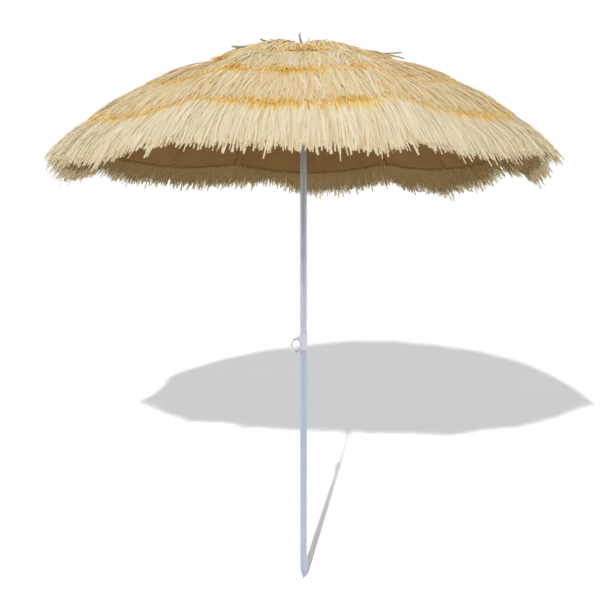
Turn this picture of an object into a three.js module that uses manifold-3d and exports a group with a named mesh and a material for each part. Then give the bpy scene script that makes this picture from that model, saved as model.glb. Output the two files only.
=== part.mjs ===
// A thatched beach umbrella: a two-piece pole with a clamp collar, a folding frame of ribs and
// stretchers, and a domed canopy in one sector per rib. Millimetres, +Z up.
// The origin is the tip of the ground spike, and the pole stands on the Z axis.
import * as THREE from "three";
import { mergeVertices } from "three/addons/utils/BufferGeometryUtils.js";
import Module from "manifold-3d";

const wasm = await Module();
wasm.setup();

// Driving dimensions.
const GAP = 0.3; // clearance between pieces that touch
const ROUND = 32; // sides of the tubes
const SMALL_ROUND = 12; // sides of the small round pieces
const RING_SIDES = 36; // sides of a ring of wire
const WIRE_SIDES = 8; // and of the wire itself
const CUT_MARGIN = 20; // a cutting tool runs this far past what it cuts
const CUT_CORE = 0.5; // radius of the empty core of a round cutting tool

const TUBE_WALL = 1.2;
const LOWER_RADIUS = 12.5;
const LOWER_TOP = 826;
const SPIKE_HEIGHT = 32;
const SPIKE_TIP_RADIUS = 2;
const SPIKE_PLUG_LENGTH = 30;
const SPIKE_CHAMFER = 2;
const UPPER_RADIUS = LOWER_RADIUS - TUBE_WALL - GAP;
const UPPER_BOTTOM = 580;
const PLUG_LENGTH = 22;
const PLUG_LIP = 3;
const PLUG_CHAMFER = 1;

const COLLAR_RADIUS = 13.8;
const COLLAR_BOTTOM = 774;
const COLLAR_TOP = 830;
const COLLAR_CHAMFER = 1.6;
const FLANGE_RADIUS = 16;
const FLANGE_HEIGHT = 11;
const FLANGE_CHAMFER = new THREE.Vector2(1, 2); // inwards and up, at its lower edge
const FLANGE_SLOPE = 4; // height of the cone between the flange and the sleeve
const BOSS_FACE_X = 18.5; // distance of the boss's end face from the pole's axis
const BOSS_FACE_RADIUS = 6;
const BOSS_ROOT_X = 9;
const BOSS_ROOT_RADIUS = 13;
const BOSS_SIDES = 24;
const SCREW_TILT = THREE.MathUtils.degToRad(10);
const SCREW_RADIUS = 3;
const EYE = new THREE.Vector3(-26, 0, 814); // centre of the screw's eye
const EYE_RADIUS = 5.9;
const EYE_WIRE = 1.4;
const EYE_SIDES = 20;
const RING_RADIUS = 22.5;
const RING_WIRE = 2.4;
const RING_TWIST = THREE.MathUtils.degToRad(50); // how far the hanging ring turns past the pole
const SCREW_HOLE_LENGTH = 26;
const SCREW_HOLE_X = -15; // middle of the screw's hole
const SCREW_HOLE_SIDES = 16;

const RIB_COUNT = 8;
const CANOPY_TURN = THREE.MathUtils.degToRad(-2.5); // of the open canopy about the pole
const FIRST_RIB = Math.PI / RIB_COUNT + CANOPY_TURN; // azimuth of the first rib, from +X
const DOME_RADIUS = 1180; // of the canopy's fabric along each rib
const DOME_TOP = 1770;
const DOME_CENTRE = DOME_TOP - DOME_RADIUS;
const FABRIC_BELOW = 1; // the canopy solid reaches this far below the dome
const THATCH_ABOVE = 5; // and this far above it
const HEM_RADIUS = 800;
const FRINGE_END = new THREE.Vector2(858, 1396); // radius and height, at a rib
const CANOPY_HOLE_RADIUS = 13;
const HEM_SAG = 40; // how far the fabric sinks between two ribs, at the hem
const SAG_POWER = 1.2;
const FRINGE_SAG = new THREE.Vector2(28, 38); // inwards and down, at the fringe's end
const CANOPY_ROWS = 12;
const CANOPY_COLUMNS = 6;

const RIB_DROP = 6; // the rib's centre line runs this far below the dome
const RIB_ARC_RADIUS = DOME_RADIUS - RIB_DROP;
const RIB_WIDTH = 4.4;
const RIB_WALL = 0.9;
const RIB_TIP_RADIUS = 790; // distance of the rib's end from the pole's axis
const RIB_STEPS = 18;
const RIB_EYE_CLEARANCE = 0.5; // between the wire and the rib's eye
const TIP_LENGTH = 16; // of the cap on the rib's end
const TIP_SHIFT = 3.5; // the cap's middle stands this far behind the rib's end
const TIP_WALL = 0.8;
const TIP_ROOF = 0.5;
const TIP_DROP = 4.5;
const TIP_NOSE_RADIUS = 3.6;
const TIP_NOSE_X = 4.5;
const TIP_POCKET_LENGTH = 12;
const ROOT_OVERHANG = 3.5; // the rib runs this far past its pivot, towards the pole
const PIVOT_RADIUS = 19; // of both rings of wire, which the ribs and stretchers turn on
const PIVOT_WIRE = 0.9;
const CROWN_PIVOT_Z =
  DOME_CENTRE + Math.sqrt(RIB_ARC_RADIUS ** 2 - PIVOT_RADIUS ** 2);

const HUB_RADIUS = 24;
const HUB_CORE_RADIUS = 14.2;
const SLOT_HEIGHT = 40;
const SLOT_CLEARANCE = 0.6;
const CROWN_TOP = DOME_TOP - 3;
const CROWN_BOTTOM = CROWN_TOP - 14;
const CROWN_SLEEVE = 16; // length of the crown's sleeve below its head
const POLE_INSET = 2; // the pole ends this far below the crown's top
const CAP_RADIUS = 32;
const CAP_HEIGHT = 16;
const CAP_STEM = 30;
const CAP_STEPS = 6;

const BRACKET_RADIUS = 318; // distance of the rib bracket from the pole's axis
const BRACKET_DROP = 7; // its pivot hangs this far below the rib's centre line
const BRACKET_LENGTH = 11;
const BRACKET_MARGIN = 3; // of the bracket below its pivot
const BRACKET_BOSS_RADIUS = 2.8;
const STRETCHER_LENGTH = 345;
const STRETCHER_WIDTH = 3.2;
const STRETCHER_DEPTH = 6;
const STRETCHER_CLEARANCE = 0.5; // between a stretcher and its rib, which lie side by side
const STRETCHER_OFFSET = RIB_WIDTH / 2 + STRETCHER_CLEARANCE + STRETCHER_WIDTH / 2;
const STRETCHER_HOLE_RADIUS = 1.8;
const STRETCHER_END_STEPS = 6;
const RIVET_RADIUS = 2.2;
const RIVET_HEAD = 1; // the rivet stands out this far on both sides
const RUNNER_ARM = Math.sqrt(PIVOT_RADIUS ** 2 - STRETCHER_OFFSET ** 2);
const RUNNER_SLEEVE_RADIUS = 15.5;
const RUNNER_BELOW = 42;
const RUNNER_ABOVE = 7;
const RUNNER_LIP = 2; // how far the grip at the runner's lower end stands out
const RUNNER_LIP_HEIGHT = 4;
const CATCH_REACH = 15; // the catch's tooth reaches this far from the pole's axis
const CATCH_WIDTH = 3.6;
const CATCH_LEAF = 0.9; // thickness of the catch's leaf
const CATCH_LENGTH = 60;
const CATCH_PLAY = 2; // between the leaf and the tube's inner wall
const TOOTH_HEIGHT = 14;
const TOOTH_FACE = 3; // height of the tooth's end face
const WINDOW_DEPTH = 10;
const WINDOW_HEIGHT = 24;
const WINDOW_DROP = 9; // of the window's middle below the runner's lower end

// Where the rib brackets and the runner stand with the canopy open.
const bracketAngle = Math.asin(BRACKET_RADIUS / RIB_ARC_RADIUS);
const bracketPivot = new THREE.Vector2(
  (RIB_ARC_RADIUS - BRACKET_DROP) * Math.sin(bracketAngle),
  DOME_CENTRE + (RIB_ARC_RADIUS - BRACKET_DROP) * Math.cos(bracketAngle),
);
const stretcherRun = bracketPivot.x - RUNNER_ARM;
const stretcherRise = Math.sqrt(STRETCHER_LENGTH ** 2 - stretcherRun ** 2);
const runnerZ = bracketPivot.y - stretcherRise;
const runnerBottom = runnerZ - RUNNER_BELOW;

// Materials.
const metal = (color, roughness) => ({ color, roughness, metalness: 0.7 });
const FINISHES = {
  paintedPole: { color: 0xd2d4df, roughness: 0.35, metalness: 0.2 },
  collarPlastic: { color: 0xdcdce8, roughness: 0.5, metalness: 0 },
  zinc: metal(0xb9b9b6, 0.4),
  frameSteel: metal(0xcfd0d2, 0.45),
  framePlastic: { color: 0xe9e7e0, roughness: 0.55, metalness: 0 },
  thatch: { color: 0xe6d5a6, roughness: 0.9, metalness: 0 },
};

const part = new THREE.Group();

function addPiece(name, geometry, finish, parent = part) {
  const mesh = new THREE.Mesh(geometry, new THREE.MeshStandardMaterial(finish));
  mesh.name = name;
  parent.add(mesh);
  return mesh;
}

// Solids: a closed geometry becomes a manifold to be joined or cut, and turns back.
function toSolid(geometry) {
  const bare = geometry.clone();
  bare.deleteAttribute("normal");
  bare.deleteAttribute("uv");
  const merged = mergeVertices(bare, 1e-4);
  return new wasm.Manifold(
    new wasm.Mesh({
      numProp: 3,
      vertProperties: merged.attributes.position.array,
      triVerts: new Uint32Array(merged.index.array),
    }),
  );
}

function toGeometry(solid) {
  const { vertProperties, triVerts } = solid.getMesh();
  const geometry = new THREE.BufferGeometry();
  geometry.setAttribute("position", new THREE.BufferAttribute(vertProperties, 3));
  geometry.setIndex(new THREE.BufferAttribute(triVerts, 1));
  geometry.computeVertexNormals();
  return geometry;
}

function cut(geometry, ...tools) {
  return toGeometry(tools.reduce((solid, tool) => solid.subtract(toSolid(tool)), toSolid(geometry)));
}

function join(geometry, ...others) {
  return toGeometry(others.reduce((solid, other) => solid.add(toSolid(other)), toSolid(geometry)));
}

// Basic shapes. A turned shape is given by [radius, height] corners, anticlockwise from the axis.
function turned(corners, sides = ROUND) {
  const profile = corners.map(([radius, z]) => new THREE.Vector2(radius, z));
  return new THREE.LatheGeometry(profile, sides).rotateX(Math.PI / 2);
}

function tube(outer, inner, bottom, top) {
  return turned([
    [inner, bottom],
    [outer, bottom],
    [outer, top],
    [inner, top],
    [inner, bottom],
  ]);
}

function rod(radius, length, sides = SMALL_ROUND) {
  return new THREE.CylinderGeometry(radius, radius, length, sides);
}

function wireRing(radius, wire, sides = RING_SIDES) {
  return new THREE.TorusGeometry(radius, wire, WIRE_SIDES, sides);
}

function box(width, depth, height, x = 0, y = 0, z = 0) {
  return new THREE.BoxGeometry(width, depth, height).translate(x, y, z);
}

// Every rib carries its own turned frame, whose X runs outwards along the rib.
const ribFrames = Array.from({ length: RIB_COUNT }, (_, index) => {
  const frame = new THREE.Group();
  frame.rotation.z = FIRST_RIB + (index * 2 * Math.PI) / RIB_COUNT;
  part.add(frame);
  return frame;
});

function addToRibs(name, geometry, finish) {
  ribFrames.forEach((frame, index) => addPiece(`${name}_${index + 1}`, geometry, finish, frame));
}

// Pole.
function onScrewAxis(geometry, x) {
  const z = EYE.z + (x - EYE.x) * Math.tan(SCREW_TILT);
  return geometry.rotateZ(Math.PI / 2).rotateY(-SCREW_TILT).translate(x, EYE.y, z);
}

function screwHole() {
  const tool = rod(SCREW_RADIUS + GAP, SCREW_HOLE_LENGTH, SCREW_HOLE_SIDES);
  return onScrewAxis(tool, SCREW_HOLE_X);
}

function lowerPole() {
  const hollow = tube(LOWER_RADIUS, LOWER_RADIUS - TUBE_WALL, SPIKE_HEIGHT + GAP, LOWER_TOP);
  return cut(hollow, screwHole());
}

function groundSpike() {
  const plugRadius = LOWER_RADIUS - TUBE_WALL - GAP;
  const plugTop = SPIKE_HEIGHT + SPIKE_PLUG_LENGTH;
  return turned([
    [0, 0],
    [SPIKE_TIP_RADIUS, 0],
    [LOWER_RADIUS, SPIKE_HEIGHT - SPIKE_CHAMFER],
    [LOWER_RADIUS, SPIKE_HEIGHT],
    [plugRadius, SPIKE_HEIGHT],
    [plugRadius, plugTop - SPIKE_CHAMFER],
    [plugRadius - SPIKE_CHAMFER, plugTop],
    [0, plugTop],
  ]);
}

function clampCollar() {
  const bore = LOWER_RADIUS + GAP;
  const mouth = UPPER_RADIUS + GAP;
  const flangeTop = COLLAR_BOTTOM + FLANGE_HEIGHT;
  const body = turned([
    [bore, COLLAR_BOTTOM],
    [FLANGE_RADIUS - FLANGE_CHAMFER.x, COLLAR_BOTTOM],
    [FLANGE_RADIUS, COLLAR_BOTTOM + FLANGE_CHAMFER.y],
    [FLANGE_RADIUS, flangeTop - FLANGE_SLOPE],
    [COLLAR_RADIUS, flangeTop],
    [COLLAR_RADIUS, COLLAR_TOP - COLLAR_CHAMFER],
    [COLLAR_RADIUS - COLLAR_CHAMFER, COLLAR_TOP],
    [mouth, COLLAR_TOP],
    [mouth, LOWER_TOP + GAP],
    [bore, LOWER_TOP + GAP],
    [bore, COLLAR_BOTTOM],
  ]);
  const cone = new THREE.CylinderGeometry(
    BOSS_FACE_RADIUS,
    BOSS_ROOT_RADIUS,
    BOSS_FACE_X - BOSS_ROOT_X,
    BOSS_SIDES,
  );
  const inside = tube(bore, CUT_CORE, COLLAR_BOTTOM - CUT_MARGIN, COLLAR_TOP + CUT_MARGIN);
  const above = tube(BOSS_FACE_X + CUT_MARGIN, CUT_CORE, COLLAR_TOP, COLLAR_TOP + CUT_MARGIN);
  const boss = cut(onScrewAxis(cone, -(BOSS_FACE_X + BOSS_ROOT_X) / 2), inside, above);
  return cut(join(body, boss), screwHole());
}

function clampScrew() {
  const tip = -UPPER_RADIUS - GAP - SCREW_RADIUS * Math.sin(SCREW_TILT);
  const end = EYE.x + EYE_RADIUS;
  const shank = onScrewAxis(rod(SCREW_RADIUS, tip - end), (tip + end) / 2);
  const eye = wireRing(EYE_RADIUS, EYE_WIRE, EYE_SIDES).rotateX(Math.PI / 2);
  return join(shank, eye.translate(EYE.x, EYE.y, EYE.z));
}

function screwRing() {
  const hang = EYE_RADIUS - EYE_WIRE - RING_WIRE - GAP;
  return wireRing(RING_RADIUS, RING_WIRE)
    .rotateX(Math.PI / 2)
    .rotateZ(RING_TWIST)
    .translate(EYE.x, EYE.y, EYE.z - hang - RING_RADIUS);
}

function upperPole() {
  const top = CROWN_TOP - POLE_INSET;
  const hollow = tube(UPPER_RADIUS, UPPER_RADIUS - TUBE_WALL, UPPER_BOTTOM, top);
  const width = CATCH_WIDTH + 2 * GAP;
  const window = box(WINDOW_DEPTH, width, WINDOW_HEIGHT, UPPER_RADIUS, 0, runnerBottom - WINDOW_DROP);
  return cut(hollow, window);
}

function polePlug() {
  const stem = UPPER_RADIUS - TUBE_WALL - GAP;
  const bottom = UPPER_BOTTOM - GAP - PLUG_LIP;
  return turned([
    [0, bottom],
    [UPPER_RADIUS - PLUG_CHAMFER, bottom],
    [UPPER_RADIUS, bottom + PLUG_CHAMFER],
    [UPPER_RADIUS, bottom + PLUG_LIP],
    [stem, bottom + PLUG_LIP],
    [stem, bottom + PLUG_LENGTH],
    [0, bottom + PLUG_LENGTH],
  ]);
}

// Hubs: a slotted head with a ring of wire in it.
function slottedHead(corners, pivotZ, slotOffset, slotWidth) {
  const head = turned(corners);
  const groove = wireRing(PIVOT_RADIUS, PIVOT_WIRE + GAP).translate(0, 0, pivotZ);
  const slotX = HUB_CORE_RADIUS + HUB_RADIUS / 2;
  const slots = ribFrames.map((frame) =>
    box(HUB_RADIUS, slotWidth, SLOT_HEIGHT, slotX, slotOffset, pivotZ).rotateZ(frame.rotation.z),
  );
  return cut(head, groove, ...slots);
}

function crownHub() {
  const bore = UPPER_RADIUS + GAP;
  const corners = [
    [bore, CROWN_BOTTOM - CROWN_SLEEVE],
    [HUB_CORE_RADIUS, CROWN_BOTTOM - CROWN_SLEEVE],
    [HUB_CORE_RADIUS, CROWN_BOTTOM],
    [HUB_RADIUS, CROWN_BOTTOM],
    [HUB_RADIUS, CROWN_TOP],
    [bore, CROWN_TOP],
    [bore, CROWN_BOTTOM - CROWN_SLEEVE],
  ];
  return slottedHead(corners, CROWN_PIVOT_Z, 0, RIB_WIDTH + 2 * SLOT_CLEARANCE);
}

function runner() {
  const bore = UPPER_RADIUS + GAP;
  const corners = [
    [bore, runnerBottom],
    [RUNNER_SLEEVE_RADIUS + RUNNER_LIP, runnerBottom],
    [RUNNER_SLEEVE_RADIUS + RUNNER_LIP, runnerBottom + RUNNER_LIP_HEIGHT],
    [HUB_CORE_RADIUS, runnerBottom + 2 * RUNNER_LIP_HEIGHT],
    [HUB_CORE_RADIUS, runnerZ - RUNNER_ABOVE],
    [HUB_RADIUS, runnerZ - RUNNER_ABOVE],
    [HUB_RADIUS, runnerZ + RUNNER_ABOVE],
    [bore, runnerZ + RUNNER_ABOVE],
    [bore, runnerBottom],
  ];
  const width = STRETCHER_WIDTH + 2 * SLOT_CLEARANCE;
  return slottedHead(corners, runnerZ, STRETCHER_OFFSET, width);
}

function topCap() {
  const bottom = DOME_TOP + THATCH_ABOVE + GAP;
  const stem = UPPER_RADIUS - TUBE_WALL - GAP;
  const corners = [
    [0, bottom - CAP_STEM],
    [stem, bottom - CAP_STEM],
    [stem, bottom],
    [CAP_RADIUS, bottom],
  ];
  for (let step = 1; step <= CAP_STEPS; step++) {
    const angle = (step / CAP_STEPS) * (Math.PI / 2);
    corners.push([CAP_RADIUS * Math.cos(angle), bottom + CAP_HEIGHT * Math.sin(angle)]);
  }
  corners[corners.length - 1][0] = 0;
  return turned(corners);
}

// The catch is a leaf inside the tube with a tooth that stands out below the runner.
function runnerCatch() {
  const outer = UPPER_RADIUS - TUBE_WALL - CATCH_PLAY;
  const inner = outer - CATCH_LEAF;
  const toothTop = runnerBottom - GAP;
  const outline = new THREE.Shape();
  outline.moveTo(inner, toothTop - CATCH_LENGTH);
  outline.lineTo(outer, toothTop - CATCH_LENGTH);
  outline.lineTo(outer, toothTop - TOOTH_HEIGHT);
  outline.lineTo(CATCH_REACH, toothTop - TOOTH_FACE);
  outline.lineTo(CATCH_REACH, toothTop);
  outline.lineTo(inner, toothTop);
  const plate = new THREE.ExtrudeGeometry(outline, { depth: CATCH_WIDTH, bevelEnabled: false });
  return plate.rotateX(Math.PI / 2).translate(0, CATCH_WIDTH / 2, 0);
}

// Ribs: channel steel, open below, bent to the dome.
class RibArc extends THREE.Curve {
  constructor(from, to) {
    super();
    this.from = from;
    this.to = to;
  }
  getPoint(share, target = new THREE.Vector3()) {
    const angle = this.from + (this.to - this.from) * share;
    const height = DOME_CENTRE + RIB_ARC_RADIUS * Math.cos(angle);
    return target.set(RIB_ARC_RADIUS * Math.sin(angle), 0, height);
  }
}

function rib() {
  const half = RIB_WIDTH / 2;
  const inner = half - RIB_WALL;
  const channel = new THREE.Shape([
    new THREE.Vector2(-half, -half),
    new THREE.Vector2(half, -half),
    new THREE.Vector2(half, half),
    new THREE.Vector2(inner, half),
    new THREE.Vector2(inner, -inner),
    new THREE.Vector2(-inner, -inner),
    new THREE.Vector2(-inner, half),
    new THREE.Vector2(-half, half),
  ]);
  const from = Math.asin((PIVOT_RADIUS - ROOT_OVERHANG) / RIB_ARC_RADIUS);
  const to = Math.asin(RIB_TIP_RADIUS / RIB_ARC_RADIUS);
  const bar = new THREE.ExtrudeGeometry(channel, {
    steps: RIB_STEPS,
    bevelEnabled: false,
    extrudePath: new RibArc(from, to),
  });
  const eye = rod(PIVOT_WIRE + RIB_EYE_CLEARANCE, 2 * RIB_WIDTH);
  return cut(bar, eye.translate(PIVOT_RADIUS, 0, CROWN_PIVOT_Z));
}

// A piece made lying along X at the rib's centre line, moved out along the rib to a radius.
function alongRib(geometry, radius) {
  const angle = Math.asin(radius / RIB_ARC_RADIUS);
  const z = DOME_CENTRE + RIB_ARC_RADIUS * Math.cos(angle);
  return geometry.rotateY(angle).translate(radius, 0, z);
}

function ribBracket() {
  const thickness = RIB_WIDTH - 2 * RIB_WALL - 2 * GAP;
  const top = RIB_WIDTH / 2 - RIB_WALL - GAP;
  const bottom = -BRACKET_DROP - BRACKET_MARGIN;
  const tongue = box(BRACKET_LENGTH, thickness, top - bottom, 0, 0, (top + bottom) / 2);
  const reach = STRETCHER_OFFSET - STRETCHER_WIDTH / 2 - GAP;
  const boss = rod(BRACKET_BOSS_RADIUS, reach).translate(0, reach / 2, -BRACKET_DROP);
  return alongRib(join(tongue, boss), BRACKET_RADIUS);
}

function ribTip() {
  const pocket = RIB_WIDTH + 2 * GAP;
  const width = pocket + 2 * TIP_WALL;
  const top = pocket / 2 + TIP_ROOF;
  const middle = (top - TIP_DROP) / 2;
  const body = box(TIP_LENGTH, width, top + TIP_DROP, -TIP_SHIFT, 0, middle);
  const nose = rod(TIP_NOSE_RADIUS, width).translate(TIP_NOSE_X, 0, middle);
  const hollow = box(TIP_POCKET_LENGTH, pocket, pocket, GAP - TIP_POCKET_LENGTH / 2, 0, 0);
  return alongRib(cut(join(body, nose), hollow), RIB_TIP_RADIUS);
}

// Stretchers: flat bars from the runner to the rib brackets, each beside its rib.
function stretcher() {
  const end = STRETCHER_DEPTH / 2;
  const outline = new THREE.Shape();
  outline.absarc(0, 0, end, Math.PI / 2, (3 * Math.PI) / 2);
  outline.absarc(STRETCHER_LENGTH, 0, end, -Math.PI / 2, Math.PI / 2);
  const hole = new THREE.Path();
  hole.absarc(0, 0, STRETCHER_HOLE_RADIUS, 0, 2 * Math.PI, true);
  outline.holes.push(hole);
  const bar = new THREE.ExtrudeGeometry(outline, {
    depth: STRETCHER_WIDTH,
    bevelEnabled: false,
    curveSegments: STRETCHER_END_STEPS,
  });
  const rivet = rod(RIVET_RADIUS, STRETCHER_WIDTH + 2 * RIVET_HEAD).rotateX(Math.PI / 2);
  rivet.translate(STRETCHER_LENGTH, 0, STRETCHER_WIDTH / 2 - RIVET_HEAD);
  return join(bar, rivet)
    .rotateX(Math.PI / 2)
    .rotateY(-Math.atan2(stretcherRise, stretcherRun))
    .translate(RUNNER_ARM, STRETCHER_OFFSET + STRETCHER_WIDTH / 2, runnerZ);
}

// Canopy: one sector for each rib, with its ridge along the rib, sagging towards the neighbours.
function canopyPoint(row, across, above) {
  const holeAngle = Math.asin(CANOPY_HOLE_RADIUS / DOME_RADIUS);
  const hemAngle = Math.asin(HEM_RADIUS / DOME_RADIUS);
  const hemShare = Math.min(row / (1 - 1 / CANOPY_ROWS), 1);
  const angle = holeAngle + (hemAngle - holeAngle) * hemShare;
  const sink = 1 - (1 - Math.abs(across)) ** 2;
  const sag = HEM_SAG * (angle / hemAngle) ** SAG_POWER * sink;
  const reach = DOME_RADIUS + (above ? THATCH_ABOVE : -FABRIC_BELOW) - sag;
  const point = new THREE.Vector2(reach * Math.sin(angle), DOME_CENTRE + reach * Math.cos(angle));
  if (row > 1 - 0.5 / CANOPY_ROWS) {
    point.set(FRINGE_END.x - FRINGE_SAG.x * sink, FRINGE_END.y - FRINGE_SAG.y * sink);
    point.x -= above ? 0 : THATCH_ABOVE + FABRIC_BELOW;
  }
  return point;
}

function canopySector() {
  const sheet = new THREE.BoxGeometry(2, 1, 1, CANOPY_COLUMNS, CANOPY_ROWS, 1);
  const place = sheet.attributes.position;
  for (let index = 0; index < place.count; index++) {
    const across = place.getX(index);
    const point = canopyPoint(0.5 - place.getY(index), across, place.getZ(index) > 0);
    const azimuth = across * (Math.PI / RIB_COUNT - GAP / 2 / point.x);
    place.setXYZ(index, point.x * Math.cos(azimuth), point.x * Math.sin(azimuth), point.y);
  }
  return sheet;
}

addPiece("lower_pole", lowerPole(), FINISHES.paintedPole);
addPiece("ground_spike", groundSpike(), FINISHES.paintedPole);
addPiece("clamp_collar", clampCollar(), FINISHES.collarPlastic);
addPiece("clamp_screw", clampScrew(), FINISHES.zinc);
addPiece("screw_ring", screwRing(), FINISHES.zinc);
addPiece("upper_pole", upperPole(), FINISHES.paintedPole);
addPiece("pole_plug", polePlug(), FINISHES.framePlastic);
addPiece("crown_hub", crownHub(), FINISHES.framePlastic);
addPiece(
  "crown_wire",
  wireRing(PIVOT_RADIUS, PIVOT_WIRE).translate(0, 0, CROWN_PIVOT_Z),
  FINISHES.zinc,
);
addPiece("top_cap", topCap(), FINISHES.framePlastic);
addPiece("runner", runner(), FINISHES.framePlastic);
addPiece("runner_wire", wireRing(PIVOT_RADIUS, PIVOT_WIRE).translate(0, 0, runnerZ), FINISHES.zinc);
addPiece("runner_catch", runnerCatch(), FINISHES.frameSteel);
addToRibs("rib", rib(), FINISHES.frameSteel);
addToRibs("rib_bracket", ribBracket(), FINISHES.frameSteel);
addToRibs("rib_tip", ribTip(), FINISHES.framePlastic);
addToRibs("stretcher", stretcher(), FINISHES.frameSteel);
addToRibs("canopy", canopySector(), FINISHES.thatch);

export default part;
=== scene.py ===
"""A thatched beach umbrella: straw thatch in tiers on a brown fabric dome, a folding frame and a
two-piece pole. Metres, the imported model's own frame: the origin is the spike's tip, +Z is up."""

import math
from collections import namedtuple

import bpy
import numpy as np
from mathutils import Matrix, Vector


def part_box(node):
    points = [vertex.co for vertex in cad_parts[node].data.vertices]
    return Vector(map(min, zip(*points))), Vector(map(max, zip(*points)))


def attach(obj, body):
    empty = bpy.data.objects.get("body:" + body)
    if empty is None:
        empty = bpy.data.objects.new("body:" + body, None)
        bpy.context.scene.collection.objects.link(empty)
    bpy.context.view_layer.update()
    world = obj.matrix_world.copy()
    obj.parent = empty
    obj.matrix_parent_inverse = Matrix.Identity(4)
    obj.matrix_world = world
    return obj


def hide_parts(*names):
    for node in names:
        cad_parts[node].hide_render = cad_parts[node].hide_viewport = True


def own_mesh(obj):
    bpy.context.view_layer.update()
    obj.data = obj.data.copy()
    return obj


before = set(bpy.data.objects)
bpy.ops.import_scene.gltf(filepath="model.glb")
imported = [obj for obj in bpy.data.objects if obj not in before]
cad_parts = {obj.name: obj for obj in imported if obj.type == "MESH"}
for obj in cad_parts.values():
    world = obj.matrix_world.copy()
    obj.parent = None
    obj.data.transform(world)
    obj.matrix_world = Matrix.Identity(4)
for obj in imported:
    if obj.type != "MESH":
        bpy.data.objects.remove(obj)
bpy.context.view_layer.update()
SEED = 20
chance = np.random.default_rng(SEED)

# ---------------------------------------------------------------- dimensions of the canopy
RIBS = 8
HALF_SECTOR = math.pi / RIBS
FIRST_RIB = HALF_SECTOR - math.radians(2.5)
DOME_RADIUS = 1.180
DOME_CENTRE = 0.590  # height of the dome's centre
HEM_RADIUS = 0.800
HEM_ARC = DOME_RADIUS * math.asin(HEM_RADIUS / DOME_RADIUS)
HEM_SAG = 0.040  # how far the cloth sinks between two ribs, at the hem
SAG_POWER = 1.2
DROOP = 46  # slope of the fringe in degrees, at a rib
DROOP_BETWEEN = 10  # and how much steeper it is between two ribs
BEND_LENGTH = 0.04  # the straw bends to that slope over this length
FABRIC_TOP_ARC = 0.026
FRINGE_ARC = 0.954
TIER_ROOTS = (0.040, 0.300, 0.530, 0.744)  # arc length from the top to each tier's braid
# How slack each panel is, as a share of the sag, anticlockwise from rib 1.
PANEL_SLACK = (1.35, 1.25, 0.9, 1.8, 1.1, 0.8, 1.1, 1.0)
CLOTH_THICKNESS = 0.0008
STRIP_LIFT = -0.0007  # hem and seams are strips just under the cloth
STRIP_THICKNESS = 0.0005
HEM_WIDTH = 0.016
SEAM_WIDTH = 0.009
SEAM_TOP_ARC = 0.06
SEAM_TO_HEM = 0.002  # the seams stop this far short of the hem
POCKET_LENGTH = 0.115  # the cloth sleeve over each rib's end
POCKET_PAST_HEM = 0.007
POCKET_HALF_WIDTH = 0.015
POCKET_DEPTH = 0.0112
CORD_PITCH = 0.014  # the braids: two plies wound round each other
CORD_STEP = 0.0025
CORD_LIFT = 0.0068
CORD_SHIFT = 0.001  # how far up the slope from the strands' roots the braid runs
PLY_RADIUS = 0.0016
PLY_OFFSET = 0.0014
PLY_SIDES = 6
TUFT_COUNT = 420  # the loose straw over the top cap
CAP_REACH = 0.026  # it lies level this far out from the pole, then slopes down
TUFT_SLOPE = 0.22

COAT_GRAIN = 900
COAT_RELIEF = 0.00006

# ---------------------------------------------------------------- kinds of strand
UV_NAME = "OFBake"
RINGS = 8  # points along a strand
KINDS = 64
# Upper and lower strands have a dyed root, and in both the first nine are strongly dyed.
ROOTED, STRONGLY = 18, 9
UPPER, LOWER, STRONG, PALE = (0, 18), (18, 36), (36, 42), (42, 48)
PLAIN, TAN, GREY = (48, 58), (58, 63), (63, 64)

# ---------------------------------------------------------------- how the straw varies
# Each tier: root and tip arc, strands in a full layer, layers, spread of slant and of length, wave,
# the lift off the cloth of the outermost roots and tips, and how far the strands bow between.
Tier = namedtuple("Tier", "root tip full layers slant uneven wave root_top tip_top bow")
TIERS = {
    "a": Tier(TIER_ROOTS[0], TIER_ROOTS[1] + 0.010, 920, 5, 0.30, 0.018, 0.014, 0.014, 0.017, 0.012),
    "b": Tier(TIER_ROOTS[1], TIER_ROOTS[2] + 0.004, 1000, 5, 0.23, 0.013, 0.010, 0.010, 0.013, 0.004),
    "c": Tier(TIER_ROOTS[2], TIER_ROOTS[3] + 0.004, 1200, 5, 0.15, 0.012, 0.008, 0.008, 0.012, 0.003),
    "d": Tier(TIER_ROOTS[3], FRINGE_ARC, 1240, 5, 0.055, 0.012, 0.005, 0.007, 0.011, 0.002),
}
# Where each band's dye is strong: middle azimuth and half width in degrees, and how strong.
STRONG_DYE = {
    "b": ((-90, 12, 1.0), (-150, 16, 0.8), (100, 20, 0.8)),
    "c": (
        (-94, 10, 1.0), (-112, 5, 1.0), (-128, 10, 0.6),
        (-70, 5, 0.6), (10, 14, 0.6), (150, 20, 0.8),
    ),
    "d": ((-81, 6, 1.0), (-98, 10, 1.0), (-132, 24, 0.35), (-42, 10, 0.5), (60, 20, 0.8)),
}
# Humps in the top tier: middle azimuth and half width in degrees, and rise in metres.
HUMPS = ((-142, 24, 0.018), (-60, 7, 0.012))
# Where the lower tiers lie flattest: azimuth and half width in degrees, and what they lose there.
FLATTEST = (180, 25, 0.5)
# Tongues and notches in the fringe's cut: middle azimuth and half width in degrees, and how much
# longer than even the straw is there, in metres.
FRINGE_CUT = (
    (16, 6, 0.038), (25.5, 3, -0.024), (47, 4.5, 0.026), (60, 4.5, 0.020), (99, 6, -0.036),
    (111, 3.5, 0.016), (132, 10, -0.016), (169, 11, -0.038), (-12, 7, -0.034), (-37, 9, -0.018),
    (-60, 3, 0.012), (-74, 7.5, 0.035), (-114, 6, 0.016), (-125, 4, -0.010), (-136, 3, 0.010),
)


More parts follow.
